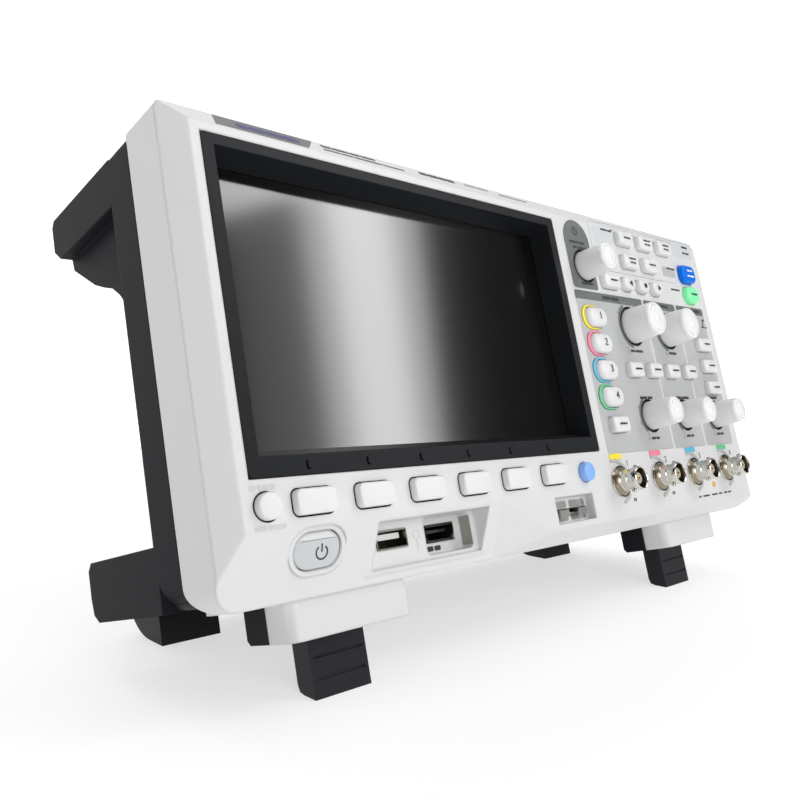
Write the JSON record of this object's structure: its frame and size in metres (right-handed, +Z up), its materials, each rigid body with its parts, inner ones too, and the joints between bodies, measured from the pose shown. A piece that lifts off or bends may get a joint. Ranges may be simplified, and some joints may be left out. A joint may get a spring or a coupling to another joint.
{
  "type": "oscilloscope",
  "caption": "Bench oscilloscope tilted back on fold-out front legs: wide flat display, soft keys, control panel of keys and knobs, input jacks along the front, rear housing and hood handle.",
  "frame": {"origin": "bottom centre of the bounding box, on the bench plane, with the legs folded out", "axes": "+X to the right seen from the front, -Y towards the user, +Z up; the body leans back 15 degrees about X"},
  "size_m": [0.312, 0.146, 0.1762],
  "materials": {
    "shell_white": "fine satin texture",
    "case_dark": "fine grained texture",
    "frame_black": "polished",
    "display_glass": "glossy, switched off",
    "panel_grey": "printed film, satin",
    "jack_nickel": "bright nickel plate",
    "port_steel": "plain",
    "port_black": "satin",
    "foot_rubber": "matt",
    "board_green": "solder mask",
    "supply_aluminium": "plain",
    "fan_black": "satin",
    "screw_steel": "blackened",
    "leg_black": "satin",
    "key_white": "satin",
    "key_blue": "satin, lit",
    "key_green": "satin, lit",
    "key_pale_blue": "satin",
    "key_grey": "satin",
    "knob_plastic": "satin",
    "shaft_metal": "plain"
  },
  "bodies": {
    "housing": {"front_bezel": "shell_white", "rear_case": "case_dark", "display_frame": "frame_black", "lcd_panel": "display_glass", "control_overlay": "panel_grey", "bnc_jacks": "jack_nickel", "front_ports": "port_steel", "rear_ports": "port_black", "rear_feet": "foot_rubber", "circuit_boards": "board_green", "power_supply": "supply_aluminium", "fan_frame": "fan_black", "fasteners": "screw_steel"},
    "fan_rotor": {"fan_rotor": "fan_black"},
    "leg_left": {"leg_left": "leg_black"},
    "leg_right": {"leg_right": "leg_black"},
    "power_key": {"power_key": "key_grey"},
    "menu_key": {"menu_key": "key_white"},
    "print_key": {"print_key": "key_pale_blue"},
    "soft_key_1": {"soft_key_1": "key_white"},
    "soft_key_2": {"soft_key_2": "key_white"},
    "soft_key_3": {"soft_key_3": "key_white"},
    "soft_key_4": {"soft_key_4": "key_white"},
    "soft_key_5": {"soft_key_5": "key_white"},
    "soft_key_6": {"soft_key_6": "key_white"},
    "channel_key_1": {"channel_key_1": "key_white"},
    "channel_key_2": {"channel_key_2": "key_white"},
    "channel_key_3": {"channel_key_3": "key_white"},
    "channel_key_4": {"channel_key_4": "key_white"},
    "digital_key": {"digital_key": "key_white"},
    "math_key": {"math_key": "key_white"},
    "reference_key": {"reference_key": "key_white"},
    "zoom_key": {"zoom_key": "key_white"},
    "roll_key": {"roll_key": "key_white"},
    "trigger_setup_key": {"trigger_setup_key": "key_white"},
    "trigger_auto_key": {"trigger_auto_key": "key_white"},
    "trigger_single_key": {"trigger_single_key": "key_white"},
    "cursor_key": {"cursor_key": "key_white"},
    "acquire_key": {"acquire_key": "key_white"},
    "measure_key": {"measure_key": "key_white"},
    "save_key": {"save_key": "key_white"},
    "display_key": {"display_key": "key_white"},
    "auto_setup_key": {"auto_setup_key": "key_blue"},
    "run_stop_key": {"run_stop_key": "key_green"},
    "navigate_key": {"navigate_key": "key_white"},
    "back_key": {"back_key": "key_white"},
    "halt_key": {"halt_key": "key_white"},
    "forward_key": {"forward_key": "key_white"},
    "selector_shaft": {"selector_shaft": "shaft_metal"},
    "selector_knob": {"selector_knob": "knob_plastic"},
    "vertical_scale_shaft": {"vertical_scale_shaft": "shaft_metal"},
    "vertical_scale_knob": {"vertical_scale_knob": "knob_plastic"},
    "horizontal_scale_shaft": {"horizontal_scale_shaft": "shaft_metal"},
    "horizontal_scale_knob": {"horizontal_scale_knob": "knob_plastic"},
    "vertical_position_shaft": {"vertical_position_shaft": "shaft_metal"},
    "vertical_position_knob": {"vertical_position_knob": "knob_plastic"},
    "horizontal_position_shaft": {"horizontal_position_shaft": "shaft_metal"},
    "horizontal_position_knob": {"horizontal_position_knob": "knob_plastic"},
    "trigger_level_shaft": {"trigger_level_shaft": "shaft_metal"},
    "trigger_level_knob": {"trigger_level_knob": "knob_plastic"}
  },
  "joints": [
    {"name": "menu_key_press", "type": "slide", "parent": "housing", "child": "menu_key", "axis": [0, 0.9659, -0.2588], "range_m": [0, 0.0008], "stiffness_N_per_m": 800},
    {"name": "print_key_press", "type": "slide", "parent": "housing", "child": "print_key", "axis": [0, 0.9659, -0.2588], "range_m": [0, 0.0008], "stiffness_N_per_m": 800},
    {"name": "soft_key_1_press", "type": "slide", "parent": "housing", "child": "soft_key_1", "axis": [0, 0.9659, -0.2588], "range_m": [0, 0.0008], "stiffness_N_per_m": 800},
    {"name": "soft_key_2_press", "type": "slide", "parent": "housing", "child": "soft_key_2", "axis": [0, 0.9659, -0.2588], "range_m": [0, 0.0008], "stiffness_N_per_m": 800},
    {"name": "soft_key_3_press", "type": "slide", "parent": "housing", "child": "soft_key_3", "axis": [0, 0.9659, -0.2588], "range_m": [0, 0.0008], "stiffness_N_per_m": 800},
    {"name": "soft_key_4_press", "type": "slide", "parent": "housing", "child": "soft_key_4", "axis": [0, 0.9659, -0.2588], "range_m": [0, 0.0008], "stiffness_N_per_m": 800},
    {"name": "soft_key_5_press", "type": "slide", "parent": "housing", "child": "soft_key_5", "axis": [0, 0.9659, -0.2588], "range_m": [0, 0.0008], "stiffness_N_per_m": 800},
    {"name": "soft_key_6_press", "type": "slide", "parent": "housing", "child": "soft_key_6", "axis": [0, 0.9659, -0.2588], "range_m": [0, 0.0008], "stiffness_N_per_m": 800},
    {"name": "channel_key_1_press", "type": "slide", "parent": "housing", "child": "channel_key_1", "axis": [0, 0.9659, -0.2588], "range_m": [0, 0.0008], "stiffness_N_per_m": 800},
    {"name": "channel_key_2_press", "type": "slide", "parent": "housing", "child": "channel_key_2", "axis": [0, 0.9659, -0.2588], "range_m": [0, 0.0008], "stiffness_N_per_m": 800},
    {"name": "channel_key_3_press", "type": "slide", "parent": "housing", "child": "channel_key_3", "axis": [0, 0.9659, -0.2588], "range_m": [0, 0.0008], "stiffness_N_per_m": 800},
    {"name": "channel_key_4_press", "type": "slide", "parent": "housing", "child": "channel_key_4", "axis": [0, 0.9659, -0.2588], "range_m": [0, 0.0008], "stiffness_N_per_m": 800},
    {"name": "digital_key_press", "type": "slide", "parent": "housing", "child": "digital_key", "axis": [0, 0.9659, -0.2588], "range_m": [0, 0.0008], "stiffness_N_per_m": 800},
    {"name": "math_key_press", "type": "slide", "parent": "housing", "child": "math_key", "axis": [0, 0.9659, -0.2588], "range_m": [0, 0.0008], "stiffness_N_per_m": 800},
    {"name": "reference_key_press", "type": "slide", "parent": "housing", "child": "reference_key", "axis": [0, 0.9659, -0.2588], "range_m": [0, 0.0008], "stiffness_N_per_m": 800},
    {"name": "zoom_key_press", "type": "slide", "parent": "housing", "child": "zoom_key", "axis": [0, 0.9659, -0.2588], "range_m": [0, 0.0008], "stiffness_N_per_m": 800},
    {"name": "roll_key_press", "type": "slide", "parent": "housing", "child": "roll_key", "axis": [0, 0.9659, -0.2588], "range_m": [0, 0.0008], "stiffness_N_per_m": 800},
    {"name": "trigger_setup_key_press", "type": "slide", "parent": "housing", "child": "trigger_setup_key", "axis": [0, 0.9659, -0.2588], "range_m": [0, 0.0008], "stiffness_N_per_m": 800},
    {"name": "trigger_auto_key_press", "type": "slide", "parent": "housing", "child": "trigger_auto_key", "axis": [0, 0.9659, -0.2588], "range_m": [0, 0.0008], "stiffness_N_per_m": 800},
    {"name": "trigger_single_key_press", "type": "slide", "parent": "housing", "child": "trigger_single_key", "axis": [0, 0.9659, -0.2588], "range_m": [0, 0.0008], "stiffness_N_per_m": 800},
    {"name": "cursor_key_press", "type": "slide", "parent": "housing", "child": "cursor_key", "axis": [0, 0.9659, -0.2588], "range_m": [0, 0.0008], "stiffness_N_per_m": 800},
    {"name": "acquire_key_press", "type": "slide", "parent": "housing", "child": "acquire_key", "axis": [0, 0.9659, -0.2588], "range_m": [0, 0.0008], "stiffness_N_per_m": 800},
    {"name": "measure_key_press", "type": "slide", "parent": "housing", "child": "measure_key", "axis": [0, 0.9659, -0.2588], "range_m": [0, 0.0008], "stiffness_N_per_m": 800},
    {"name": "save_key_press", "type": "slide", "parent": "housing", "child": "save_key", "axis": [0, 0.9659, -0.2588], "range_m": [0, 0.0008], "stiffness_N_per_m": 800},
    {"name": "display_key_press", "type": "slide", "parent": "housing", "child": "display_key", "axis": [0, 0.9659, -0.2588], "range_m": [0, 0.0008], "stiffness_N_per_m": 800},
    {"name": "auto_setup_key_press", "type": "slide", "parent": "housing", "child": "auto_setup_key", "axis": [0, 0.9659, -0.2588], "range_m": [0, 0.0008], "stiffness_N_per_m": 800},
    {"name": "run_stop_key_press", "type": "slide", "parent": "housing", "child": "run_stop_key", "axis": [0, 0.9659, -0.2588], "range_m": [0, 0.0008], "stiffness_N_per_m": 800},
    {"name": "navigate_key_press", "type": "slide", "parent": "housing", "child": "navigate_key", "axis": [0, 0.9659, -0.2588], "range_m": [0, 0.0008], "stiffness_N_per_m": 800},
    {"name": "back_key_press", "type": "slide", "parent": "housing", "child": "back_key", "axis": [0, 0.9659, -0.2588], "range_m": [0, 0.0008], "stiffness_N_per_m": 800},
    {"name": "halt_key_press", "type": "slide", "parent": "housing", "child": "halt_key", "axis": [0, 0.9659, -0.2588], "range_m": [0, 0.0008], "stiffness_N_per_m": 800},
    {"name": "forward_key_press", "type": "slide", "parent": "housing", "child": "forward_key", "axis": [0, 0.9659, -0.2588], "range_m": [0, 0.0008], "stiffness_N_per_m": 800},
    {"name": "power_key_press", "type": "slide", "parent": "housing", "child": "power_key", "axis": [0, 0.9785, 0.2064], "range_m": [0, 0.0008], "stiffness_N_per_m": 800},
    {"name": "selector_press", "type": "slide", "parent": "housing", "child": "selector_shaft", "axis": [0, 0.9659, -0.2588], "range_m": [0, 0.0008], "stiffness_N_per_m": 1200},
    {"name": "selector_turn", "type": "hinge", "parent": "selector_shaft", "child": "selector_knob", "pos_m": [0.039, -0.04288, 0.15083], "axis": [0, -0.9659, 0.2588], "continuous": true},
    {"name": "vertical_scale_press", "type": "slide", "parent": "housing", "child": "vertical_scale_shaft", "axis": [0, 0.9659, -0.2588], "range_m": [0, 0.0008], "stiffness_N_per_m": 1200},
    {"name": "vertical_scale_turn", "type": "hinge", "parent": "vertical_scale_shaft", "child": "vertical_scale_knob", "pos_m": [0.0684, -0.04956, 0.12591], "axis": [0, -0.9659, 0.2588], "continuous": true},
    {"name": "horizontal_scale_press", "type": "slide", "parent": "housing", "child": "horizontal_scale_shaft", "axis": [0, 0.9659, -0.2588], "range_m": [0, 0.0008], "stiffness_N_per_m": 1200},
    {"name": "horizontal_scale_turn", "type": "hinge", "parent": "horizontal_scale_shaft", "child": "horizontal_scale_knob", "pos_m": [0.0999, -0.04964, 0.12562], "axis": [0, -0.9659, 0.2588], "continuous": true},
    {"name": "vertical_position_press", "type": "slide", "parent": "housing", "child": "vertical_position_shaft", "axis": [0, 0.9659, -0.2588], "range_m": [0, 0.0008], "stiffness_N_per_m": 1200},
    {"name": "vertical_position_turn", "type": "hinge", "parent": "vertical_position_shaft", "child": "vertical_position_knob", "pos_m": [0.0676, -0.06048, 0.08515], "axis": [0, -0.9659, 0.2588], "continuous": true},
    {"name": "horizontal_position_press", "type": "slide", "parent": "housing", "child": "horizontal_position_shaft", "axis": [0, 0.9659, -0.2588], "range_m": [0, 0.0008], "stiffness_N_per_m": 1200},
    {"name": "horizontal_position_turn", "type": "hinge", "parent": "horizontal_position_shaft", "child": "horizontal_position_knob", "pos_m": [0.0992, -0.06051, 0.08505], "axis": [0, -0.9659, 0.2588], "continuous": true},
    {"name": "trigger_level_press", "type": "slide", "parent": "housing", "child": "trigger_level_shaft", "axis": [0, 0.9659, -0.2588], "range_m": [0, 0.0008], "stiffness_N_per_m": 1200},
    {"name": "trigger_level_turn", "type": "hinge", "parent": "trigger_level_shaft", "child": "trigger_level_knob", "pos_m": [0.1306, -0.06064, 0.08457], "axis": [0, -0.9659, 0.2588], "continuous": true},
    {"name": "leg_left_fold", "type": "hinge", "parent": "housing", "child": "leg_left", "pos_m": [-0.1053, -0.03892, 0.0244], "axis": [1, 0, 0], "range_deg": [0, 90]},
    {"name": "leg_right_fold", "type": "hinge", "parent": "housing", "child": "leg_right", "pos_m": [0.1053, -0.03892, 0.0244], "axis": [1, 0, 0], "range_deg": [0, 90]},
    {"name": "fan_spin", "type": "hinge", "parent": "housing", "child": "fan_rotor", "pos_m": [0.07, 0.05064, 0.05941], "axis": [0, 0.9659, -0.2588], "continuous": true}
  ]
}
